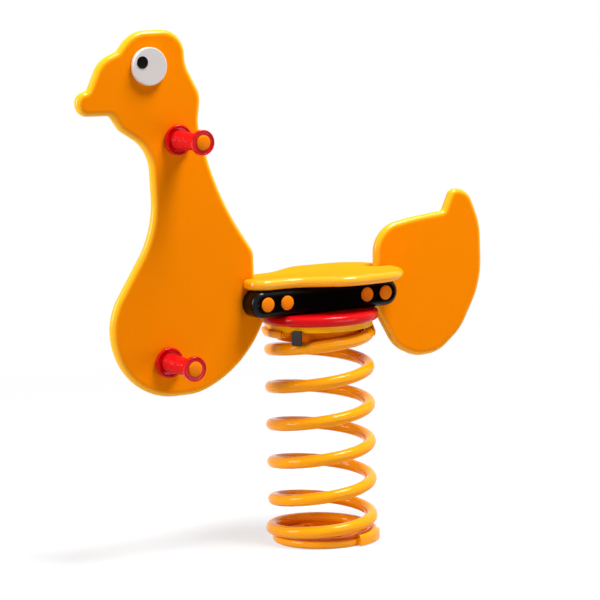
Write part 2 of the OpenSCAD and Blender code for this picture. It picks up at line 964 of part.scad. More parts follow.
module right_eye() {
    eye(1);
}

module left_pupil() {
    pupil(-1);
}

module right_pupil() {
    pupil(1);
}

base_plate();
lower_coil_straps();
spring();
upper_coil_straps();
spring_guide();
top_plate();
rubber_stop();
spacer_disc();
plate_bolts();
plate_washers();
plate_inserts();
left_beam();
right_beam();
beam_bolts();
beam_washers();
beam_nuts();
left_beam_caps();
right_beam_caps();
front_panel();
tail_panel();
seat();
seat_screws();
handle_rod();
left_handle_grip();
right_handle_grip();
handle_nuts();
left_handle_cap();
right_handle_cap();
footrest_rod();
left_footrest_grip();
right_footrest_grip();
footrest_nuts();
left_footrest_cap();
right_footrest_cap();
left_eye();
right_eye();
left_pupil();
right_pupil();
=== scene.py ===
"""Dresses a playground spring rider: spring, panels, seat, pegs, eyes, finishes and a white studio."""

import json
import math

import bmesh
import bpy
from bpy.props import FloatProperty, FloatVectorProperty, IntProperty, PointerProperty
from mathutils import Matrix, Vector


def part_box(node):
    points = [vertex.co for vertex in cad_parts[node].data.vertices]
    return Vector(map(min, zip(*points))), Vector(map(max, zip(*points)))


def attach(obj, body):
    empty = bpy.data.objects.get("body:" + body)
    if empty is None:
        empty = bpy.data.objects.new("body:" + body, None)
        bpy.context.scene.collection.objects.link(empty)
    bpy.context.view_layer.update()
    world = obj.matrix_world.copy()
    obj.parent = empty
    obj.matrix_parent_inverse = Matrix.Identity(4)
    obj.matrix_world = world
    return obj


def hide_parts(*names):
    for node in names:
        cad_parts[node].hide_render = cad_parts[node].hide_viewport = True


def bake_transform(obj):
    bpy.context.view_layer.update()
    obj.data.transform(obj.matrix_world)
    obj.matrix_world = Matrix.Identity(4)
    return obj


bl_info = {
    "name": "Spring rider",
    "version": (1, 0, 0),
    "blender": (4, 5, 0),
    "location": "View3D > Sidebar > Rider",
    "description": "Builds the visible pieces of a spring rider and the studio around it",
    "category": "Object",
}

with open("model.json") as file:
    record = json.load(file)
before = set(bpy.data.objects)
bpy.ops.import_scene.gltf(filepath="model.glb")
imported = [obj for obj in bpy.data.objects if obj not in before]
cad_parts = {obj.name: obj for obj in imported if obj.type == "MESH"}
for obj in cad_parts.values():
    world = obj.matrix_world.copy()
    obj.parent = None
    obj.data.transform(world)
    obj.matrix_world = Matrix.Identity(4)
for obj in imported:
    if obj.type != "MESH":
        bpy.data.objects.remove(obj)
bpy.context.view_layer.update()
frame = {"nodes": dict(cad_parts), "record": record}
MM = 0.001
ACROSS, UP = Vector((0, 1, 0)), Vector((0, 0, 1))
# Distances in metres within which vertices are one, and within which they lie in a plane.
WELD, LEVEL = 1e-6, 1e-7
# Faces that meet at less than the first angle shade as one. Swept bars are broken over the second.
SMOOTH_UNDER, BREAK_OVER = math.radians(36), math.radians(40)
# Turn between the points of a lathe's corners and of a strap's section.
LATHE_STEP, STRAP_STEP = math.radians(10), 0.15


def size_of(node):
    """Size of a CAD node's box."""
    low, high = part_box(node)
    return high - low


def middle_of(node):
    """Middle of a CAD node's box."""
    low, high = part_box(node)
    return (low + high) / 2


FOOT_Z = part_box("base_plate")[1].z
HEAD_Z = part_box("top_plate")[0].z
BEAM_Z = middle_of("left_beam").z

# Sizes from here to the settings are in millimetres.
BEAM_BOLTS = (-134, -94, 74, 114)
TONGUE_MARGIN, TONGUE_INSET = 24, 2
TONGUE = size_of("left_beam").z / 2 / MM - TONGUE_INSET

# Corners of the outlines, anticlockwise: along, across, corner radius.
# Heights of the panels count from the middle of the beams.
FRONT_BACK, FRONT_TONGUE = -134.5, BEAM_BOLTS[1] + TONGUE_MARGIN
TAIL_FRONT, TAIL_TONGUE = 121, BEAM_BOLTS[2] - TONGUE_MARGIN
FRONT_CORNERS = [
    (FRONT_BACK, 92, 30), (-206, 197, 510), (-240, 325.5, 60), (-233, 375, 44), (-262.5, 430, 66),
    (-263, 491, 44), (-364.5, 491, 58), (-394, 457, 7), (-428.5, 443.5, 50), (-453, 392.5, 13),
    (-475.5, 388, 19), (-476, 349, 22), (-412, 347.5, 8), (-394, 321, 28), (-337.5, 285, 71),
    (-332, 144.5, 179), (-424, 3.5, 108), (-420.5, -152, 124), (-249, -152, 121), (-153, -106.5, 207),
    (FRONT_BACK + 23, -TONGUE, 8), (FRONT_TONGUE, -TONGUE, 12), (FRONT_TONGUE, TONGUE, 12),
    (FRONT_BACK, TONGUE, 1.5),
]
TAIL_CORNERS = [
    (TAIL_TONGUE, -TONGUE, 12), (TAIL_FRONT - 9.5, -TONGUE, 8), (161, -110, 67), (206.5, -132.5, 71),
    (258, -129, 70), (308, -90.5, 105), (357.5, -3.5, 167), (356, 105.5, 134), (328, 173, 38), (291, 173, 16),
    (273, 134, 8), (201, 127.5, 630), (TAIL_FRONT, 112, 57), (TAIL_FRONT, TONGUE, 1.5),
    (TAIL_TONGUE, TONGUE, 12),
]
SEAT_SIDE = [(-161, 52.5, 36), (-74, 52.5, 70), (4, 106, 62), (155, 99, 78)]

# Straight left between the two corners of a round end.
ROUND_END = 0.01
# Cutter for a panel's slot in the seat: length past the panel's end, height, and radius on its rims.
SLOT_REACH, SLOT_HEIGHT, SLOT_RIM = 120, 100, 0.1
# Radius on the rims of the turned plates, wall and extra depth of the guide ring, extra radius of the spacer.
BASE_RIM, TOP_RIM, GUIDE_RIM, SPACER_RIM = 5.5, 1.2, 0.8, 8
GUIDE_WALL, GUIDE_DEEPER, SPACER_WIDER = 5, 4, 2.5
# Holes for the ground bolts: number, radius, radius of their circle, and the cutter's lower and upper end.
GROUND_HOLES, GROUND_HOLE_R, GROUND_CIRCLE_R, GROUND_CUT = 4, 6.5, 55, (-5, 20)
# Straps: lap over the rims of the base plate and the top plate, broken edges, and the height of the
# wire's middle up to which a strap stays straight inside.
FOOT_LAP, HEAD_LAP, STRAP_BREAK, STRAP_STRAIGHT = 12, 3, 0.7, 1
# Angles of the near and the far strap from the wire's tip, in degrees, at the foot and the head, and the
# share of a full lip that the foot's far strap has.
FOOT_STRAPS, HEAD_STRAPS, LOW_LIP = (20, 197), (24, 212), 0.2
# Rubber stop: thickness, drop under the top plate, height of its top and of its hook over the plate's
# underside, broken edges; then its angle past the wire's tip and its own, in degrees.
STOP_T, STOP_DROP, STOP_TOP, STOP_HOOK, STOP_BREAK = 8, 22, 4, 1, 1.2
STOP_ANGLE, STOP_SPAN = 18, 10
# Pegs: shift from the CAD rod and how much shorter the grip is.
PEGS = {"handle": (Vector((3, 0, 0.5)), 4), "footrest": (Vector(), 0)}
# Grips: length to the end ring, start and number of ribs, radius at the panel and taper, height of a rib.
GRIP_END, RIB_START, RIBS = 85.5, 7, 12
GRIP_R, GRIP_TAPER, RIB_FOOT, RIB_TOP = 16.7, 3.6, 0.4, 0.7
# Skirt of the caps on the grips.
PEG_SKIRT = 1.2
# Eyes: radius, thickness, rim radius and shift towards the beak.
EYE_R, EYE_T, EYE_RIM, EYE_SHIFT = 33, 9, 1.8, 1
# Pupils: radius, sink into the eye, height of the side and the middle over it, rim radius.
PUPIL_R, PUPIL_SINK, PUPIL_SIDE, PUPIL_TOP, PUPIL_RIM = 10.75, 2, 1, 1.2, 0.9


class RiderSpring(bpy.types.PropertyGroup):
    wire: FloatProperty(name="Wire", description="Diameter of the wire", default=22 * MM, unit="LENGTH")
    outside: FloatProperty(
        name="Outside", description="Outside diameter of the coil", default=200 * MM, unit="LENGTH"
    )
    gap: FloatProperty(
        name="Gap", description="Room between the wire and what holds it", default=0.4 * MM, unit="LENGTH"
    )
    pitch: FloatProperty(name="Pitch", description="Rise of a working turn", default=69 * MM, unit="LENGTH")
    closed_pitch: FloatProperty(
        name="Closed pitch", description="Rise of a closed end turn", default=22.8 * MM, unit="LENGTH"
    )
    foot_turns: FloatProperty(name="Foot turns", description="Closed turns at the foot", default=0.66)
    head_turns: FloatProperty(name="Head turns", description="Closed turns at the head", default=0.48)
    opening: FloatProperty(name="Opening", description="Turns from closed to working pitch", default=0.66)
    lift_angle: FloatProperty(
        name="Lift angle",
        description="Direction in which the wire leaves the foot",
        default=math.radians(159),
        subtype="ANGLE",
    )
    strap: FloatProperty(name="Strap", description="Thickness of a strap", default=3.5 * MM, unit="LENGTH")
    tip_span: FloatProperty(
        name="Tip strap",
        description="Angle of a strap at the wire's tip",
        default=math.radians(45),
        subtype="ANGLE",
    )
    far_span: FloatProperty(
        name="Far strap",
        description="Angle of the head's far strap",
        default=math.radians(26),
        subtype="ANGLE",
    )
    foot_far_span: FloatProperty(
        name="Foot far strap",
        description="Angle of the foot's far strap",
        default=math.radians(8),
        subtype="ANGLE",
    )
    swell: FloatProperty(
        name="Swell",
        description="Extra radius where the wire leaves the foot",
        default=4.5 * MM,
        unit="LENGTH",
    )
    sides: IntProperty(name="Sides", description="Sides of the wire", default=24)
    steps: IntProperty(name="Steps", description="Rings in one turn", default=64)


class RiderPanels(bpy.types.PropertyGroup):
    edge: FloatProperty(
        name="Edge", description="Radius on panel and seat edges", default=9 * MM, unit="LENGTH"
    )
    edge_wide: FloatProperty(
        name="Edge width", description="Width of a panel's rounding for its depth", default=1.32
    )
    beam_edge: FloatProperty(
        name="Beam edge",
        description="Radius on the outer edges of the beams",
        default=13 * MM,
        unit="LENGTH",
    )
    beam_back: FloatProperty(
        name="Beam back",
        description="Radius on the beam edges at the panels",
        default=1.5 * MM,
        unit="LENGTH",
    )
    arc_step: FloatProperty(
        name="Arc step",
        description="Turn between points of an outline",
        default=math.radians(3),
        subtype="ANGLE",
    )
    slot_gap: FloatProperty(
        name="Slot gap", description="Room beside a panel in the seat", default=1 * MM, unit="LENGTH"
    )


class RiderColours(bpy.types.PropertyGroup):
    panel: FloatVectorProperty(
        name="Panel", description="Orange panel sheet", subtype="COLOR", default=(0.87, 0.225, 0.001)
    )
    # Lighter, yellower colour on the panels' rounded edges: painted light from the side box, not a different
    # plastic.
    panel_lit_edge: FloatVectorProperty(
        name="Panel edge",
        description="Routed edge of the panels",
        subtype="COLOR",
        default=(0.95, 0.42, 0.003),
    )
    seat: FloatVectorProperty(
        name="Seat", description="Orange seat board", subtype="COLOR", default=(0.93, 0.315, 0.010)
    )
    # Lighter colour on the seat's rounded edges: painted light from the lamps, not a different plastic.
    seat_lit_edge: FloatVectorProperty(
        name="Seat edge",
        description="Routed edge of the seat",
        subtype="COLOR",
        default=(0.97, 0.38, 0.004),
    )
    spring: FloatVectorProperty(
        name="Spring",
        description="Powder coat of the spring",
        subtype="COLOR",
        default=(0.97, 0.345, 0.001),
    )
    # Darker than the spring's coat: painted shade on the base plate inside the coil and on the guide ring
    # under the top plate.
    plate: FloatVectorProperty(
        name="Plates",
        description="Coat of the base plate and guide ring",
        subtype="COLOR",
        default=(0.87, 0.24, 0.002),
    )
    # Lighter than the spring's coat: painted light on the top plate's rim.
    top_plate: FloatVectorProperty(
        name="Top plate",
        description="Powder coat of the top plate",
        subtype="COLOR",
        default=(0.98, 0.44, 0.002),
    )
    red: FloatVectorProperty(
        name="Red", description="Red plastic", subtype="COLOR", default=(0.62, 0.002, 0.004)
    )
    rubber: FloatVectorProperty(
        name="Rubber", description="Rubber of the stop", subtype="COLOR", default=(0.030, 0.026, 0.020)
    )
    black: FloatVectorProperty(
        name="Black", description="Black beam plastic", subtype="COLOR", default=(0.0025, 0.0015, 0.0015)
    )
    cap: FloatVectorProperty(
        name="Cap", description="Orange caps", subtype="COLOR", default=(0.84, 0.20, 0.002)
    )
    eye: FloatVectorProperty(
        name="Eye", description="White of the eyes", subtype="COLOR", default=(0.60, 0.57, 0.555)
    )
    # Paler rim of the eyes: painted highlight where the side box lights the rim.
    eye_lit_rim: FloatVectorProperty(
        name="Eye edge", description="Rim of the eyes", subtype="COLOR", default=(0.74, 0.71, 0.68)
    )


class RiderStage(bpy.types.PropertyGroup):
    camera_place: FloatVectorProperty(
        name="Camera",
        description="Place of the camera",
        subtype="XYZ",
        unit="LENGTH",
        default=(-2.574, -4.211, 1.112),
    )
    lens: FloatProperty(
        name="Lens", description="Focal length on a 36 mm sensor", default=165.17, unit="CAMERA"
    )
    top_light: FloatProperty(name="Top light", description="Overhead soft box", default=284, unit="POWER")
    side_light: FloatProperty(
        name="Side light", description="Soft box at the head end", default=72, unit="POWER"
    )
    front_light: FloatProperty(
        name="Front light", description="Low fill from the front", default=13, unit="POWER"
    )
    ambient: FloatProperty(name="Ambient", description="Even light from all round", default=0.1)


# Finishes


def wired(tree, kind, inputs):
    """A new node with these inputs: a socket is linked, and anything else is set as the value."""
    node = tree.nodes.new(kind)
    for name, value in inputs.items():
        if isinstance(value, bpy.types.NodeSocket):
            tree.links.new(value, node.inputs[name])
        else:
            node.inputs[name].default_value = value
    return node


def ramp(tree, factor, low, high, first, second):
    """Blends from the first colour to the second while the factor goes from low to high."""
    blend = wired(tree, "ShaderNodeValToRGB", {"Fac": factor})
    for stop, place, colour in zip(blend.color_ramp.elements, (low, high), (first, second)):
        stop.position = place
        stop.color = (*colour, 1)
    return blend.outputs["Color"]


# Slow noise in colour and gloss: scale, and the part of it that goes from the darker tint to the full one.
DRIFT_SCALE, DRIFT_BAND = 5, (0.32, 0.66)
# Part of the rounded-edge attribute that goes from the sheet's colour to the painted light on its edge.
EDGE_LIGHT_BAND = (0.005, 0.13)
GRAIN_DEPTH = 0.15 * MM


def finish(name, colour, shade, rough, grain, relief, shine, edge=None, metal=0):
    """A plastic, paint or metal with drifting colour and gloss and a fine grain.

    A sheet gives a lighter colour painted on its rounded edges as painted light, and these edges take the
    second shine.
    """
    material = bpy.data.materials.new(name)
    material.use_nodes = True
    tree = material.node_tree
    shader = tree.nodes["Principled BSDF"]
    shader.inputs["Metallic"].default_value = metal
    shader.inputs["Specular IOR Level"].default_value = shine[0]
    place = tree.nodes.new("ShaderNodeTexCoord").outputs["Object"]
    slow = {"Vector": place, "Scale": DRIFT_SCALE, "Detail": 5}
    drift = wired(tree, "ShaderNodeTexNoise", slow).outputs["Fac"]
    tint = ramp(tree, drift, *DRIFT_BAND, [c * shade for c in colour], colour)
    # The edge colour is painted light on the rounded edges; the same mask raises their gloss.
    if edge:
        edge_light_and_gloss = tree.nodes.new("ShaderNodeAttribute")
        edge_light_and_gloss.attribute_name = "edge_light_and_gloss"
        band = {"Value": edge_light_and_gloss.outputs["Fac"], "From Min": EDGE_LIGHT_BAND[0], "From Max": EDGE_LIGHT_BAND[1]}
        share = wired(tree, "ShaderNodeMapRange", band).outputs["Result"]
        blend = wired(tree, "ShaderNodeMix", {0: share, 6: tint, 7: (*edge, 1)})
        blend.data_type = "RGBA"
        tint = blend.outputs[2]
        spread = {"Value": share, "To Min": shine[0], "To Max": shine[1]}
        level = wired(tree, "ShaderNodeMapRange", spread).outputs["Result"]
        tree.links.new(level, shader.inputs["Specular IOR Level"])
    tree.links.new(tint, shader.inputs["Base Color"])
    gloss = wired(tree, "ShaderNodeMapRange", {"Value": drift, "To Min": rough[0], "To Max": rough[1]})
    tree.links.new(gloss.outputs["Result"], shader.inputs["Roughness"])
    fine = wired(tree, "ShaderNodeTexNoise", {"Vector": place, "Scale": grain, "Detail": 3}).outputs["Fac"]
    bump = wired(tree, "ShaderNodeBump", {"Height": fine, "Strength": relief, "Distance": GRAIN_DEPTH})
    tree.links.new(bump.outputs["Normal"], shader.inputs["Normal"])
    return material


FINISHES = {}


def finish_of(look):
    """The finish with this name, made once."""
    if look not in FINISHES:
        colours = bpy.context.scene.rider_colours
        # Colour, shade, roughness, grain, relief, shine of flats and edges, colour of edges, metal.
        recipes = {
            # The panels' edge colour is painted light on their rounded edges.
            "panel_plastic": (colours.panel, 0.97, (0.20, 0.28), 1400, 0.10, (0, 0.30), colours.panel_lit_edge),
            # The seat's edge colour is painted light on its rounded edges.
            "seat_plastic": (colours.seat, 0.97, (0.13, 0.19), 1400, 0.05, (0, 0.34), colours.seat_lit_edge),
            "spring_paint": (colours.spring, 0.96, (0.07, 0.12), 420, 0.04, (0.15,)),
            # Base plate and guide ring: darker coat as painted shade; the base plate's rounded rim takes the
            # spring's colour as painted light.
            "shaded_plate_lit_rim": (colours.plate, 0.95, (0.10, 0.16), 420, 0.04, (0.01, 0.16), colours.spring),
            # Top plate: lighter coat as painted light on its rim.
            "lit_top_paint": (colours.top_plate, 0.96, (0.16, 0.24), 420, 0.12, (0.09,)),
            "red_plastic": (colours.red, 0.94, (0.10, 0.16), 900, 0.03, (0.14,)),
            "black_plastic": (colours.black, 0.80, (0.14, 0.22), 700, 0.08, (0, 0.16), colours.black),
            "cap_plastic": (colours.cap, 0.96, (0.26, 0.36), 900, 0.08, (0.03,)),
            # The eyes' rim colour is a painted highlight on their rounded rim.
            "eye_plastic": (colours.eye, 0.98, (0.24, 0.32), 900, 0.05, (0.12, 0.3), colours.eye_lit_rim),
            "pupil_plastic": (colours.black, 0.80, (0.14, 0.22), 900, 0.05, (0.06,)),
            "stop_rubber": (colours.rubber, 0.80, (0.52, 0.66), 800, 0.30, (0.2,)),
            "zinc_steel": ((0.62, 0.62, 0.60), 0.9, (0.24, 0.40), 600, 0.12, (0.5,), None, 1),
            "insert_brass": ((0.62, 0.42, 0.14), 0.9, (0.24, 0.38), 600, 0.12, (0.5,), None, 1),
        }
        FINISHES[look] = finish(look, *recipes[look])
    return FINISHES[look]


def slot_of(node):
    """Material slot of a CAD node."""
    return next(part["material_slot"] for part in frame["record"]["subparts"] if part["node"] == node)


def dress(*names):
    """Gives CAD nodes that stay as they are the finish of their slot."""
    for name in names:
        node = frame["nodes"][name]
        node.data.materials.clear()
        node.data.materials.append(finish_of(slot_of(name)))


# Shapes


def points(bm, *places):
    """New vertices at these places in the XY plane."""
    return [bmesh.ops.create_vert(bm, co=Vector(place).to_3d())["vert"][0] for place in places]


def verts_of(geom):
    """The vertices among these elements."""
    return [g for g in geom if isinstance(g, bmesh.types.BMVert)]


def spun(bm, geom, angle, steps, centre=(0, 0, 0), **options):
    """Spins elements about an upright axis and gives the last copy."""
    return bmesh.ops.spin(
        bm, geom=geom, cent=centre, axis=UP, angle=angle, steps=steps, use_duplicate=False, **options
    )["geom_last"]


def bevelled(bm, edges, offset, segments, clamp):
    """Rounds these edges."""
    bmesh.ops.bevel(
        bm,
        geom=edges,
        offset=offset,
        offset_type="OFFSET",
        segments=segments,
        profile=0.5,
        affect="EDGES",
        material=-1,
        clamp_overlap=clamp,
    )


def arc(bm, start, centre, turn, step):
    """Vertices along part of a circle in the XY plane, made by spinning the first one."""
    first = points(bm, start)
    made = len(bm.verts)
    spun(bm, first, turn, max(3, math.ceil(abs(turn) / step)), Vector(centre).to_3d())
    return first + list(bm.verts)[made:]


def strung(bm, path, closed):
    """Edges along the path where there are none yet."""
    for a, b in zip(path, path[1:] + path[:1] if closed else path[1:]):
        if bm.edges.get((a, b)) is None:
            bm.edges.new((a, b))
    return path


def rounded_path(bm, corners, step, closed=True):
    """A path with these corners (along, across, radius), in metres."""
    path = []
    last = len(corners) - 1
    for k, (x, y, radius) in enumerate(corners):
        at = Vector((x, y))
        if radius == 0 or (not closed and k in (0, last)):
            path += points(bm, at)
            continue
        came = (at - Vector(corners[k - 1][:2])).normalized()
        goes = (Vector(corners[(k + 1) % len(corners)][:2]) - at).normalized()
        turn = math.atan2(came.cross(goes), came.dot(goes))
        start = at - came * radius * math.tan(abs(turn) / 2)
        centre = start + Vector((-came.y, came.x)) * math.copysign(radius, turn)
        path += arc(bm, start, centre, turn, step)
    return strung(bm, path, closed)


def in_metres(corners):
    """Corners given in millimetres."""
    return [tuple(value * MM for value in corner) for corner in corners]


def rounded_plate(corners, thickness, lower, upper, wide=1):
    """A flat plate, centred on its thickness, with these radii on its lower and upper rim.

    The roundings are wider than they are deep by the last factor.
    """
    bm = bmesh.new()
    deep = thickness * wide
    loop = rounded_path(bm, in_metres(corners), bpy.context.scene.rider_panels.arc_step)
    face = bm.faces.new(loop)
    raised = bmesh.ops.extrude_face_region(bm, geom=[face], use_keep_orig=True)["geom"]
    bmesh.ops.translate(bm, vec=(0, 0, deep), verts=verts_of(raised))
    bmesh.ops.translate(bm, vec=(0, 0, -deep / 2), verts=bm.verts)
    for z, radius in ((-deep / 2, lower * wide), (deep / 2, upper * wide)):
        rim = [e for e in bm.edges if all(abs(v.co.z - z) < LEVEL for v in e.verts)]
        bevelled(bm, rim, radius, 8, False)
    bmesh.ops.scale(bm, vec=(1, 1, 1 / wide), verts=bm.verts)
    return bm


def raise_section(bm):
    """Turns a section from the XY plane into the XZ plane."""
    bmesh.ops.rotate(bm, cent=(0, 0, 0), matrix=Matrix.Rotation(math.pi / 2, 3, "X"), verts=bm.verts)


def lathe(corners, steps):
    """A turned solid from its profile (radius, height, corner radius), standing on Z."""
    bm = bmesh.new()
    rounded_path(bm, in_metres(corners), LATHE_STEP, closed=False)
    raise_section(bm)
    spun(bm, bm.verts[:] + bm.edges[:], math.tau, steps, use_merge=True)
    return bm


def swept(bm, angle, bevel):
    """Turns a section (radius, height) from the XY plane about Z, into a bar with broken edges.

    The bar is centred on +X.
    """
    raise_section(bm)
    bmesh.ops.rotate(bm, cent=(0, 0, 0), matrix=Matrix.Rotation(-angle / 2, 3, "Z"), verts=bm.verts)
    spun(bm, bm.verts[:] + bm.edges[:], angle, max(6, round(math.degrees(angle) / 2)))
    bmesh.ops.holes_fill(bm, edges=bm.edges, sides=0)
    bmesh.ops.recalc_face_normals(bm, faces=bm.faces)
    bevelled(bm, [e for e in bm.edges if e.calc_face_angle(0) > BREAK_OVER], bevel, 3, True)
    return bm


def stand_out(bm, side, x, y, z):
    """Turns a shape that stands on Z so that it points away from the middle plane: side -1 is left."""
    turn = Matrix.Translation((x, side * y, z)) @ Matrix.Rotation(-side * math.pi / 2, 4, "X")
    bmesh.ops.transform(bm, matrix=turn, verts=bm.verts)
    return bm


def add_piece(bm, name, body, *nodes, flat=None, look=None):
    """Makes a shaded piece that stands for these CAD nodes and rides on their body.

    A sheet names the direction its flat faces look in, which marks its rounded edges for their painted light
    and gloss.
    The finish is that of the nodes' material slot, or the look named instead.
    """
    bmesh.ops.remove_doubles(bm, verts=bm.verts, dist=WELD)
    bmesh.ops.recalc_face_normals(bm, faces=bm.faces)
    for face in bm.faces:
        face.smooth = True
    for edge in bm.edges:
        edge.smooth = edge.calc_face_angle(math.pi) < SMOOTH_UNDER
    # Share of each vertex on the rounded edge, which carries the painted edge light and gloss.
    if flat is not None:
        bm.normal_update()
        edge_light_and_gloss = bm.verts.layers.float.new("edge_light_and_gloss")
        for vert in bm.verts:
            vert[edge_light_and_gloss] = 1 - abs(vert.normal.dot(flat))
    mesh = bpy.data.meshes.new(name)
    bm.to_mesh(mesh)
    bm.free()
    piece = bpy.data.objects.new(name, mesh)
    bpy.context.scene.collection.objects.link(piece)
    slot = slot_of(nodes[0])
    mesh.materials.append(finish_of(look or slot))
    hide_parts(*nodes)
    if flat is not None:
        piece.modifiers.new("even_faces", "WEIGHTED_NORMAL").keep_sharp = True
    if body:
        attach(piece, body)
    return piece


def joined(shapes):
    """One mesh from several."""
    bm = bmesh.new()
    for shape in shapes:
        part = bpy.data.meshes.new("part")
        shape.to_mesh(part)
        shape.free()
        bm.from_mesh(part)
        bpy.data.meshes.remove(part)
    return bm


def cut_out(piece, shape):
    """Cuts a closed shape out of a piece and welds its mesh."""
    bmesh.ops.recalc_face_normals(shape, faces=shape.faces)
    mesh = bpy.data.meshes.new("cutter")
    shape.to_mesh(mesh)
    shape.free()
    tool = bpy.data.objects.new("cutter", mesh)
    bpy.context.scene.collection.objects.link(tool)
    cut = piece.modifiers.new("cut", "BOOLEAN")
    cut.object = tool
    cut.solver = "EXACT"
    piece.modifiers.move(len(piece.modifiers) - 1, 0)
    with bpy.context.temp_override(object=piece, active_object=piece, selected_objects=[piece]):
        bpy.ops.object.modifier_apply(modifier=cut.name)
    bpy.data.objects.remove(tool)
    bpy.data.meshes.remove(mesh)
    clean = bmesh.new()
    clean.from_mesh(piece.data)
    bmesh.ops.remove_doubles(clean, verts=clean.verts, dist=WELD)
    bmesh.ops.dissolve_degenerate(clean, dist=WELD, edges=clean.edges)
    clean.to_mesh(piece.data)
    clean.free()


# Pieces


def end_rise(spring, t):
    """Rise of the wire's middle t turns after it leaves a closed end."""
    if t <= 0:
        return spring.closed_pitch * t
    bend = min(t, spring.opening)
    gain = (spring.pitch - spring.closed_pitch) * bend * bend / (2 * spring.opening)
    return spring.closed_pitch * bend + gain + spring.pitch * (t - bend)


def free_turns(spring):
    """Turns between the two places where the wire leaves a closed end."""
    rise = HEAD_Z - FOOT_Z - spring.wire
    opening_rise = (spring.closed_pitch + spring.pitch) / 2 * spring.opening
    return (rise - 2 * opening_rise) / spring.pitch + 2 * spring.opening


def wire_height(spring, t):
    """Height of the wire's middle, t turns after it leaves the foot."""
    turns = free_turns(spring)
    if t < turns / 2:
        return FOOT_Z + spring.wire / 2 + end_rise(spring, t)
    return HEAD_Z - spring.wire / 2 - end_rise(spring, turns - t)


# Middle and reach of the swell at the foot, in turns after the wire leaves it.
SWELL_MIDDLE, SWELL_REACH = -0.03, 0.3
# Room between a ground end and its plate.
GROUND_ROOM = 0.2 * MM


def foot_swell(spring, t):
    """Extra radius of the wire, t turns after it leaves the foot."""
    away = (t - SWELL_MIDDLE) / SWELL_REACH
    return spring.swell * math.cos(math.pi / 2 * away) ** 2 if abs(away) < 1 else 0


class RIDER_OT_spring(bpy.types.Operator):
    """Winds the spring in two halves and grinds each closed end flat"""

    bl_idname = "rider.spring"
    bl_label = "Spring"

    def wind(self, spring, first, last):
        """The wire between these turns, counted from where it leaves the foot."""
        bm = bmesh.new()
        out = (spring.outside - spring.wire) / 2
        place = (
            Matrix.Rotation(spring.lift_angle + math.tau * first, 4, "Z")
            @ Matrix.Translation((out, 0, wire_height(spring, first)))
            @ Matrix.Rotation(math.pi / 2, 4, "X")
        )
        bmesh.ops.create_circle(
            bm, cap_ends=False, radius=spring.wire / 2, segments=spring.sides, matrix=place
        )
        ring = bm.verts[:] + bm.edges[:]
        count = math.ceil((last - first) * spring.steps)
        step = (last - first) / count
        for k in range(count):
            t = first + k * step
            rise = wire_height(spring, t + step) - wire_height(spring, t)
            ring = spun(bm, ring, math.tau * step, 1, dvec=(0, 0, rise))
            grow = foot_swell(spring, t + step) - foot_swell(spring, t)
            way = Matrix.Rotation(spring.lift_angle + math.tau * (t + step), 3, "Z") @ Vector((1, 0, 0))
            bmesh.ops.translate(bm, vec=way * grow, verts=verts_of(ring))
        bmesh.ops.holes_fill(bm, edges=bm.edges, sides=0)
        return bm

    def grind(self, bm, z, up):
        """Cuts an end flat at this height and closes it."""
        bmesh.ops.bisect_plane(
            bm,
            geom=bm.verts[:] + bm.edges[:] + bm.faces[:],
            dist=LEVEL,
            plane_co=(0, 0, z),
            plane_no=(0, 0, up),
            clear_outer=True,
        )
        bmesh.ops.holes_fill(bm, edges=bm.edges, sides=0)

    def execute(self, context):
        spring = context.scene.rider_spring
        turns = free_turns(spring)
        lower = self.wind(spring, -spring.foot_turns, turns / 2)
        self.grind(lower, FOOT_Z + GROUND_ROOM, -1)
        upper = self.wind(spring, turns / 2, turns + spring.head_turns)
        self.grind(upper, HEAD_Z - GROUND_ROOM, 1)
        lower = add_piece(lower, "coil_lower_half", None, "spring")
        upper = add_piece(upper, "coil_upper_half", None, "spring")
        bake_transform(lower)
        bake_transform(upper)
        return {"FINISHED"}


class RIDER_OT_spring_plates(bpy.types.Operator):
    """Turns the plates of the spring, the guide ring and the spacer disc"""

    bl_idname = "rider.spring_plates"
    bl_label = "Spring plates"

    def turned(self, node, name, body, inner, edge, look=None, wider=0, deeper=0, flat=None):
        """A disc or ring as large as its CAD node, or a little more, with this edge radius."""
        low, high = (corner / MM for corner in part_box(node))
        low.z -= deeper
        rim = size_of(node).x / 2 / MM + wider
        ring = [(rim, low.z, edge), (rim, high.z, edge)]
        if inner:
            profile = [(inner, (low.z + high.z) / 2, 0), (inner, low.z, edge), *ring, (inner, high.z, edge)]
            profile.append(profile[0])
        else:
            profile = [(0, low.z, 0), *ring, (0, high.z, 0)]
        return add_piece(lathe(profile, steps=96), name, body, node, look=look, flat=flat)

    def execute(self, context):
        # Base plate: darker coat as painted shade, with its rounded rim lighter as painted light.
        base = self.turned("base_plate", "base_disc", None, 0, BASE_RIM, "shaded_plate_lit_rim", flat=UP)
        out = GROUND_CIRCLE_R * MM
        low, high = GROUND_CUT
        for k in range(GROUND_HOLES):
            hole = [(0, low, 0), (GROUND_HOLE_R, low, 0), (GROUND_HOLE_R, high, 0), (0, high, 0)]
            hole = lathe(hole, steps=32)
            way = math.tau / GROUND_HOLES * k
            bmesh.ops.translate(hole, vec=(out * math.cos(way), out * math.sin(way), 0), verts=hole.verts)
            cut_out(base, hole)
        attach(base, "base")
        # Top plate: lighter coat as painted light on its rim.
        self.turned("top_plate", "top_disc", "rider", 0, TOP_RIM, "lit_top_paint")
        # Guide ring: darker coat as painted shade under the top plate.
        bore = size_of("spring_guide").x / 2 / MM - GUIDE_WALL
        self.turned(
            "spring_guide", "guide_ring", "rider", bore, GUIDE_RIM, "shaded_plate_lit_rim", deeper=GUIDE_DEEPER
        )
        self.turned("spacer_disc", "red_spacer", "rider", 0, SPACER_RIM, wider=SPACER_WIDER)
        return {"FINISHED"}


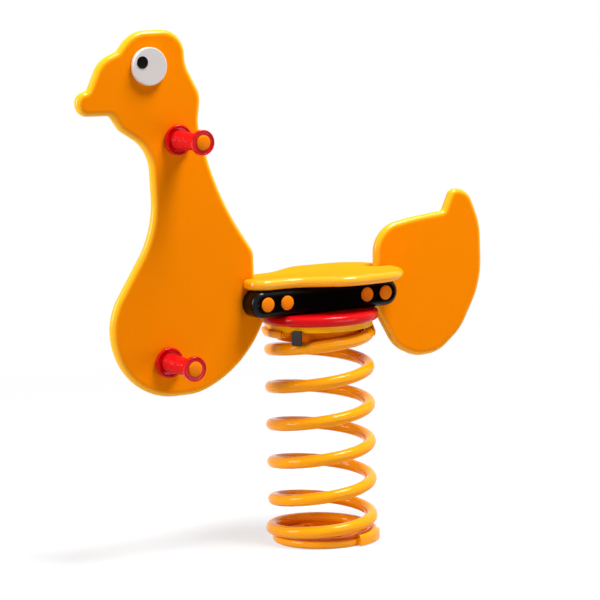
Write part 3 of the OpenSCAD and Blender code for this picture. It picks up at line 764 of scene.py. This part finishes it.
class RIDER_OT_straps(bpy.types.Operator):
    """Bends the straps round the end coils and moulds the rubber stop"""

    bl_idname = "rider.straps"
    bl_label = "Straps and stop"

    def strap(self, spring, swell, lip, low, high, rim, lap, span):
        """A strap from a plate's rim up the outside of the wire, with this share of its lip over the wire.

        The wire's middle rises from low to high over the plate, and is further out by the swell.
        Where the wire starts below the plate's face, the strap drops straight to its lower edge.
        """
        bm = bmesh.new()
        out = (spring.outside - spring.wire) / 2 + swell
        near = spring.wire / 2 + spring.gap
        far = near + spring.strap
        path = points(bm, (rim, -lap), (out + far, low if low > 0 else -lap))
        path += arc(bm, (out + far, high), (out, high), lip * math.acos(near / far), STRAP_STEP)
        if lip < 1:
            path += points(bm, (out + near, path[-1].co.y))
        if low > STRAP_STRAIGHT * MM:
            drop = min(math.asin(min(low / near, 1)), math.acos((rim - out) / near))
            path += arc(bm, (out + near, low), (out, low), -drop, STRAP_STEP)
        else:
            path += points(bm, (out + near, 0))
        if path[-1].co.x > rim + spring.gap:
            path += points(bm, (rim, 0))
        strung(bm, path, True)
        return swept(bm, span, STRAP_BREAK * MM)

    def set_at(self, bm, angle, z, way):
        """Stands a bar on its plate: way 1 is on the foot plate, -1 is under the head plate."""
        turn = Matrix.Rotation(angle, 4, "Z") @ Matrix.Diagonal((1, 1, way, 1))
        bmesh.ops.transform(bm, matrix=Matrix.Translation((0, 0, z)) @ turn, verts=bm.verts)
        return bm

    def pair(self, spring, way, z, tip, closed, plate, lap, bars):
        """The straps of one end coil as one mesh, each at its angle from the wire's tip."""
        shapes = []
        for degrees, span, lip in bars:
            angle = math.radians(degrees)
            low, high = (
                spring.wire / 2 + end_rise(spring, (angle + side * span / 2) / math.tau - closed)
                for side in (-1, 1)
            )
            swell = foot_swell(spring, angle / math.tau - closed) if way > 0 else 0
            bar = self.strap(spring, swell, lip, low, high, size_of(plate).x / 2, lap * MM, span)
            shapes.append(self.set_at(bar, tip + way * angle, z, way))
        return joined(shapes)

    def stop(self, spring, tip):
        """The rubber stop beside the head's tip, hooked on the rim of the top plate."""
        rim, near = size_of("top_plate").x / 2, spring.outside / 2 + spring.gap
        far = near + STOP_T * MM
        low, top, hook = -STOP_DROP * MM, STOP_TOP * MM, STOP_HOOK * MM
        block = bmesh.new()
        section = [(near, low), (far, low), (far, top), (rim, top), (rim, hook), (near, hook)]
        strung(block, points(block, *section), True)
        block = swept(block, math.radians(STOP_SPAN), STOP_BREAK * MM)
        return self.set_at(block, tip + math.radians(STOP_ANGLE), HEAD_Z, 1)

    def execute(self, context):
        spring = context.scene.rider_spring
        foot_tip = spring.lift_angle - math.tau * spring.foot_turns
        head_tip = spring.lift_angle + math.tau * (free_turns(spring) + spring.head_turns)
        bars = list(zip(FOOT_STRAPS, (spring.tip_span, spring.foot_far_span), (1, LOW_LIP)))
        foot = self.pair(spring, 1, FOOT_Z, foot_tip, spring.foot_turns, "base_plate", FOOT_LAP, bars)
        add_piece(foot, "foot_straps", "base", "lower_coil_straps")
        bars = list(zip(HEAD_STRAPS, (spring.tip_span, spring.far_span), (1, 1)))
        head = self.pair(spring, -1, HEAD_Z, head_tip, spring.head_turns, "top_plate", HEAD_LAP, bars)
        add_piece(head, "head_straps", "rider", "upper_coil_straps")
        add_piece(self.stop(spring, head_tip), "stop_block", "rider", "rubber_stop")
        return {"FINISHED"}


def cap_profile(skirt):
    """A domed cap over a plug, with a skirt that reaches this far below its rim."""
    return [
        (0, 3.5, 0), (10.3, 2.2, 6), (13, 0.3, 0.6), (13, -skirt, 0),
        (10.6, -skirt, 0), (10.6, -4, 0.5), (0, -4, 0),
    ]


class RIDER_OT_beams(bpy.types.Operator):
    """Forms both beams and the caps over their bolts"""

    bl_idname = "rider.beams"
    bl_label = "Beams"

    def execute(self, context):
        panels = context.scene.rider_panels
        for side, name in ((-1, "left"), (1, "right")):
            middle, size = middle_of(name + "_beam"), size_of(name + "_beam")
            half, radius = size.x / 2 / MM, size.z / 2 / MM
            mid = middle.x / MM
            corners = [
                (mid + along * half, up * radius, radius - ROUND_END)
                for along, up in ((-1, -1), (1, -1), (1, 1), (-1, 1))
            ]
            bar = rounded_plate(corners, size.y, panels.beam_back, panels.beam_edge)
            stand_out(bar, side, 0, abs(middle.y), middle.z)
            add_piece(bar, name + "_black_beam", "rider", name + "_beam", flat=ACROSS)
            outer = max(abs(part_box(name + "_beam")[0].y), abs(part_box(name + "_beam")[1].y))
            caps = [
                stand_out(lathe(cap_profile(0), steps=48), side, x * MM, outer, middle.z) for x in BEAM_BOLTS
            ]
            add_piece(joined(caps), name + "_bolt_caps", "rider", name + "_beam_caps")
        return {"FINISHED"}


class RIDER_OT_panels(bpy.types.Operator):
    """Forms the front panel and the tail panel"""

    bl_idname = "rider.panels"
    bl_label = "Panels"

    def execute(self, context):
        panels = context.scene.rider_panels
        for node, name, corners in (
            ("front_panel", "bird_front", FRONT_CORNERS),
            ("tail_panel", "bird_tail", TAIL_CORNERS),
        ):
            sheet = rounded_plate(corners, size_of(node).y, panels.edge, panels.edge, panels.edge_wide)
            stand_out(sheet, -1, 0, 0, BEAM_Z)
            add_piece(sheet, name, "rider", node, flat=ACROSS)
        return {"FINISHED"}


class RIDER_OT_seat(bpy.types.Operator):
    """Forms the seat board and cuts the slots for the panels"""

    bl_idname = "rider.seat"
    bl_label = "Seat"

    def execute(self, context):
        panels = context.scene.rider_panels
        low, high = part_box("seat")
        corners = [(x, -y, r) for x, y, r in SEAT_SIDE] + SEAT_SIDE[::-1]
        board = rounded_plate(corners, high.z - low.z, panels.edge, panels.edge)
        bmesh.ops.translate(board, vec=(0, 0, (low.z + high.z) / 2), verts=board.verts)
        seat = add_piece(board, "seat_board", None, "seat", flat=UP)
        half = (size_of("front_panel").y / 2 + panels.slot_gap) / MM
        for end, way in ((FRONT_BACK, -1), (TAIL_FRONT, 1)):
            mouth = end + way * SLOT_REACH
            inner = end - way * panels.slot_gap / MM
            round_r = half - ROUND_END
            ring = [(mouth, -half, 0), (inner, -half, round_r), (inner, half, round_r), (mouth, half, 0)]
            ring = ring if way < 0 else ring[::-1]
            slot = rounded_plate(ring, SLOT_HEIGHT * MM, SLOT_RIM * MM, SLOT_RIM * MM)
            bmesh.ops.translate(slot, vec=(0, 0, low.z), verts=slot.verts)
            cut_out(seat, slot)
        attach(seat, "rider")
        return {"FINISHED"}


class RIDER_OT_pegs(bpy.types.Operator):
    """Turns the handle and footrest grips and their end caps"""

    bl_idname = "rider.pegs"
    bl_label = "Pegs"

    def profile(self, trim):
        """Flange, ribbed grip, end ring and the mouth under the cap, outwards from the panel and trimmed."""
        corners = [(0, 0, 0), (27, 0, 5), (27, 9, 2.3), (23.2, 9, 1.8), (22.4, 6.6, 1.2), (16.6, 6.1, 0.6)]
        end = GRIP_END - trim
        step = (end - RIB_START) / RIBS
        for k in range(RIBS):
            z = RIB_START + step * k
            radius = GRIP_R - GRIP_TAPER * (k + 0.5) / RIBS
            corners += [
                (radius - RIB_FOOT, z, 0.5),
                (radius + RIB_TOP, z + 0.3 * step, 1.2),
                (radius + RIB_TOP, z + 0.7 * step, 1.2),
            ]
        corners += [
            (radius, end + z, corner)
            for radius, z, corner in (
                (13, 0.1, 0.8), (15.5, 1.7, 2), (22, 2.9, 3.4), (22, 12.5, 1.6), (19.6, 12.5, 0.8),
                (18.6, 11.3, 1), (12.4, 11.3, 0), (12.4, 6.5, 0), (0, 6.5, 0),
            )
        ]
        return corners

    def execute(self, context):
        face = size_of("front_panel").y / 2
        for peg, (shift, trim) in PEGS.items():
            middle = middle_of(peg + "_rod") + shift * MM
            for side, name in ((-1, "left"), (1, "right")):
                grip = stand_out(lathe(self.profile(trim), steps=64), side, middle.x, face, middle.z)
                add_piece(grip, f"{name}_{peg}_red_grip", "rider", f"{name}_{peg}_grip")
                end = face + size_of(f"{name}_{peg}_grip").y - trim * MM
                cap = stand_out(lathe(cap_profile(PEG_SKIRT), steps=48), side, middle.x, end, middle.z)
                add_piece(cap, f"{name}_{peg}_end_cap", "rider", f"{name}_{peg}_cap")
        return {"FINISHED"}


class RIDER_OT_eyes(bpy.types.Operator):
    """Turns the eye discs and their pupils"""

    bl_idname = "rider.eyes"
    bl_label = "Eyes"

    def execute(self, context):
        face = size_of("front_panel").y / 2
        for side, name in ((-1, "left"), (1, "right")):
            eye, pupil = middle_of(name + "_eye"), middle_of(name + "_pupil")
            eye.x -= EYE_SHIFT * MM
            disc = lathe([(0, 0, 0), (EYE_R, 0, 0), (EYE_R, EYE_T, EYE_RIM), (0, EYE_T, 0)], steps=96)
            stand_out(disc, side, eye.x, face, eye.z)
            add_piece(disc, name + "_eye_disc", "rider", name + "_eye", flat=ACROSS)
            low, side_top, top = EYE_T - PUPIL_SINK, EYE_T + PUPIL_SIDE, EYE_T + PUPIL_TOP
            dot = [(0, low, 0), (PUPIL_R, low, 0), (PUPIL_R, side_top, PUPIL_RIM), (0, top, 0)]
            dot = stand_out(lathe(dot, steps=64), side, pupil.x, face, pupil.z)
            add_piece(dot, name + "_eye_dot", "rider", name + "_pupil")
        return {"FINISHED"}


class RIDER_OT_fasteners(bpy.types.Operator):
    """Dresses the bolts, nuts, screws, inserts and rods"""

    bl_idname = "rider.fasteners"
    bl_label = "Fasteners"

    def execute(self, context):
        dress(
            "plate_bolts",
            "plate_washers",
            "plate_inserts",
            "beam_bolts",
            "beam_washers",
            "beam_nuts",
            "seat_screws",
            "handle_rod",
            "handle_nuts",
            "footrest_rod",
            "footrest_nuts",
        )
        return {"FINISHED"}


# Floor in metres: radius and drop, and where its own white goes from a share to all.
FLOOR_R, FLOOR_DROP, FLOOR_FADE = 60, 0.2 * MM, (0.9, 2.2)
# Grey of the floor for the light it throws back and for the camera, and the share of its own white
# near the part.
FLOOR_GREY, FLOOR_SEEN, FLOOR_WHITE = 0.45, 0.86, 0.62
# Soft boxes in metres: place, aim and size.
TOP_BOX = ((0.95, -1.15, 4.2), (-0.05, 0, 0.5), (1.9, 1.4))
SIDE_BOX = ((-2.6, 0.35, 1.3), (-0.1, 0, 0.5), (1.0, 1.6))
FRONT_BOX = ((0.9, -2.2, 0.2), (0.1, 0, 0.35), (2.0, 0.5))
# Directions of the camera: right, up and back.
CAMERA_AXES = ((0.8547, -0.5186, -0.0242), (0.0904, 0.1027, 0.9906), (-0.5112, -0.8488, 0.1347))


class RIDER_OT_stage(bpy.types.Operator):
    """Sets the white floor, the soft boxes, the world and the camera"""

    bl_idname = "rider.stage"
    bl_label = "Stage"

    def seen_directly(self, nodes, links):
        """1 for camera, mirror and glass rays, 0 for the light that falls on the object."""
        rays = nodes.new("ShaderNodeLightPath")
        total = rays.outputs["Is Camera Ray"]
        for name in ("Is Glossy Ray", "Is Transmission Ray"):
            either = nodes.new("ShaderNodeMath")
            either.operation = "MAXIMUM"
            links.new(total, either.inputs[0])
            links.new(rays.outputs[name], either.inputs[1])
            total = either.outputs[0]
        return total

    def floor(self, context):
        """A matt white floor that keeps the shadow near the part and turns to plain white further out."""
        bm = bmesh.new()
        bmesh.ops.create_circle(bm, cap_ends=True, radius=FLOOR_R, segments=64)
        bmesh.ops.translate(bm, vec=(0, 0, -FLOOR_DROP), verts=bm.verts)
        mesh = bpy.data.meshes.new("studio_floor")
        bm.to_mesh(mesh)
        bm.free()
        floor = bpy.data.objects.new("studio_floor", mesh)
        context.scene.collection.objects.link(floor)
        material = bpy.data.materials.new("white_floor")
        material.use_nodes = True
        tree = material.node_tree
        nodes, links = tree.nodes, tree.links
        matt = nodes["Principled BSDF"]
        matt.inputs["Roughness"].default_value = 0.9
        matt.inputs["Specular IOR Level"].default_value = 0
        seen = self.seen_directly(nodes, links)
        pale = wired(tree, "ShaderNodeMapRange", {"Value": seen, "To Min": FLOOR_GREY, "To Max": FLOOR_SEEN})
        links.new(pale.outputs["Result"], matt.inputs["Base Color"])
        reach = wired(tree, "ShaderNodeVectorMath", {0: nodes.new("ShaderNodeTexCoord").outputs["Object"]})
        reach.operation = "LENGTH"
        fade = {"Value": reach.outputs["Value"], "From Min": FLOOR_FADE[0], "From Max": FLOOR_FADE[1]}
        share = wired(tree, "ShaderNodeMapRange", {**fade, "To Min": FLOOR_WHITE, "To Max": 1})
        part = wired(tree, "ShaderNodeMath", {0: seen, 1: share.outputs["Result"]})
        part.operation = "MULTIPLY"
        white = nodes.new("ShaderNodeEmission")
        shaders = {1: matt.outputs[0], 2: white.outputs[0]}
        mix = wired(tree, "ShaderNodeMixShader", {0: part.outputs[0], **shaders})
        links.new(mix.outputs[0], nodes["Material Output"].inputs["Surface"])
        mesh.materials.append(material)

    def world(self, context, stage):
        """White where it is seen, and a weak even light."""
        world = bpy.data.worlds.new("white_room")
        context.scene.world = world
        world.use_nodes = True
        nodes, links = world.node_tree.nodes, world.node_tree.links
        soft = nodes["Background"]
        soft.inputs["Color"].default_value = (1, 1, 1, 1)
        soft.inputs["Strength"].default_value = stage.ambient
        seen = nodes.new("ShaderNodeBackground")
        seen.inputs["Color"].default_value = (1, 1, 1, 1)
        mix = nodes.new("ShaderNodeMixShader")
        links.new(self.seen_directly(nodes, links), mix.inputs[0])
        links.new(soft.outputs[0], mix.inputs[1])
        links.new(seen.outputs[0], mix.inputs[2])
        links.new(mix.outputs[0], nodes["World Output"].inputs["Surface"])

    def soft_box(self, context, name, power, place, aim, size):
        """An area lamp with this power in watts, aimed at a point."""
        light = bpy.data.lights.new(name, "AREA")
        light.shape = "RECTANGLE"
        light.size, light.size_y = size
        light.energy = power
        lamp = bpy.data.objects.new(name, light)
        lamp.location = place
        lamp.rotation_euler = (Vector(aim) - Vector(place)).to_track_quat("-Z", "Y").to_euler()
        context.scene.collection.objects.link(lamp)

    def camera(self, context, stage):
        """The camera from which the part is fitted."""
        data = bpy.data.cameras.new("photo_camera")
        data.sensor_fit = "HORIZONTAL"
        data.sensor_width = 36
        data.lens = stage.lens
        camera = bpy.data.objects.new("photo_camera", data)
        turn = Matrix(CAMERA_AXES).transposed().to_4x4()
        camera.matrix_world = Matrix.Translation(stage.camera_place) @ turn
        context.scene.collection.objects.link(camera)
        context.scene.camera = camera

    def execute(self, context):
        stage = context.scene.rider_stage
        context.scene.view_settings.view_transform = "Standard"
        self.floor(context)
        self.world(context, stage)
        self.soft_box(context, "top_box", stage.top_light, *TOP_BOX)
        self.soft_box(context, "side_box", stage.side_light, *SIDE_BOX)
        self.soft_box(context, "front_box", stage.front_light, *FRONT_BOX)
        self.camera(context, stage)
        return {"FINISHED"}


PIECES = (
    RIDER_OT_spring,
    RIDER_OT_spring_plates,
    RIDER_OT_straps,
    RIDER_OT_beams,
    RIDER_OT_panels,
    RIDER_OT_seat,
    RIDER_OT_pegs,
    RIDER_OT_eyes,
    RIDER_OT_fasteners,
    RIDER_OT_stage,
)
GROUPS = {
    "rider_spring": RiderSpring,
    "rider_panels": RiderPanels,
    "rider_colours": RiderColours,
    "rider_stage": RiderStage,
}


class RIDER_PT_sidebar(bpy.types.Panel):
    """Lists the rider's settings and pieces"""

    bl_idname = "RIDER_PT_sidebar"
    bl_label = "Spring rider"
    bl_space_type = "VIEW_3D"
    bl_region_type = "UI"
    bl_category = "Rider"

    def draw(self, context):
        for group, kind in GROUPS.items():
            box = self.layout.box()
            for setting in kind.__annotations__:
                box.prop(getattr(context.scene, group), setting)
        for piece in PIECES:
            self.layout.operator(piece.bl_idname)


def register():
    for group, kind in GROUPS.items():
        bpy.utils.register_class(kind)
        setattr(bpy.types.Scene, group, PointerProperty(type=kind))
    for kind in (*PIECES, RIDER_PT_sidebar):
        bpy.utils.register_class(kind)


def unregister():
    for kind in (RIDER_PT_sidebar, *reversed(PIECES)):
        bpy.utils.unregister_class(kind)
    for group, kind in GROUPS.items():
        delattr(bpy.types.Scene, group)
        bpy.utils.unregister_class(kind)


def main():
    register()
    bpy.ops.rider.spring()
    bpy.ops.rider.spring_plates()
    bpy.ops.rider.straps()
    bpy.ops.rider.beams()
    bpy.ops.rider.panels()
    bpy.ops.rider.seat()
    bpy.ops.rider.pegs()
    bpy.ops.rider.eyes()
    bpy.ops.rider.fasteners()
    bpy.ops.rider.stage()


if __name__ == "__main__":
    main()
